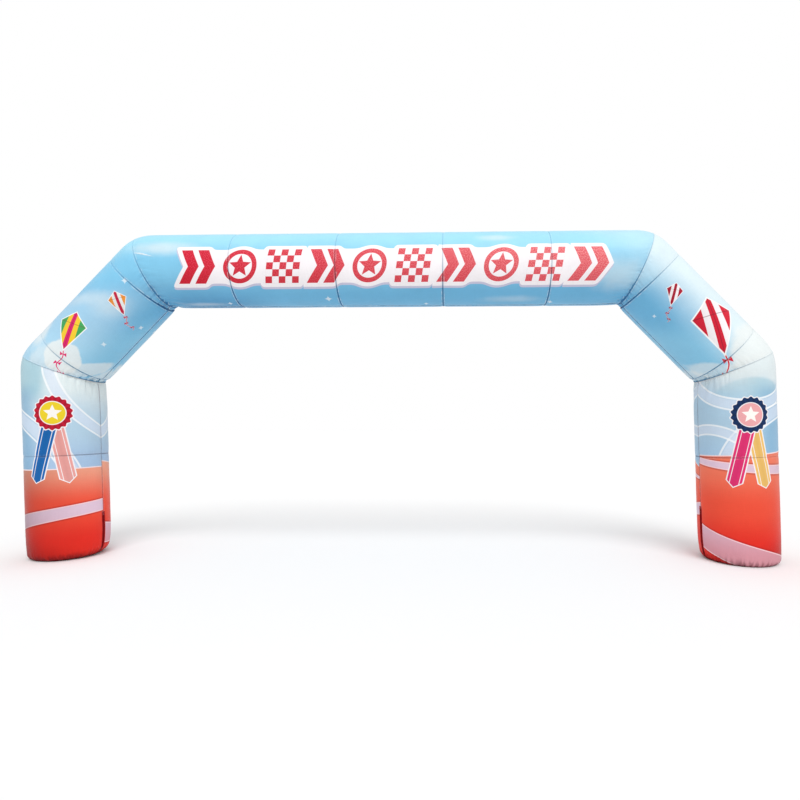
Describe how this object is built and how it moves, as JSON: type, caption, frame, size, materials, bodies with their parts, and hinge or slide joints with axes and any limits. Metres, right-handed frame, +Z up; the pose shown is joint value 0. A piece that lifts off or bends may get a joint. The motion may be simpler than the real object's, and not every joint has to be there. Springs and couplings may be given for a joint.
{
  "type": "inflatable arch",
  "caption": "Free-standing inflatable event arch: a round air-filled cloth tube with two legs, slanting braces and a level beam, to walk or run through.",
  "frame": {"origin": "middle of the box, on the floor that both feet stand on", "axes": "+X along the beam, from the left leg to the right leg as seen from the front; +Y through the passage, away from the front; +Z up"},
  "size_m": [10.0701, 0.96, 4.34],
  "materials": {
    "track_cloth": "coated polyester cloth, printed red-orange, slight sheen",
    "haze_cloth": "coated polyester cloth, printed pale blue haze, slight sheen",
    "cloud_cloth": "coated polyester cloth, printed soft clouds, slight sheen",
    "sky_cloth": "coated polyester cloth, printed sky blue, slight sheen",
    "vent_cloth": "dark red closed slit, matt"
  },
  "bodies": {
    "root": {"leg_lower_left": "track_cloth", "leg_upper_left": "haze_cloth", "knee_gusset_left": "cloud_cloth", "brace_left": "sky_cloth", "corner_gusset_left": "sky_cloth", "beam_1": "sky_cloth", "beam_2": "sky_cloth", "beam_3": "sky_cloth", "beam_4": "sky_cloth", "beam_5": "sky_cloth", "corner_gusset_right": "sky_cloth", "brace_right": "sky_cloth", "knee_gusset_right": "cloud_cloth", "leg_upper_right": "haze_cloth", "leg_lower_right": "track_cloth", "vent_left": "vent_cloth", "vent_right": "vent_cloth"}
  },
  "joints": []
}
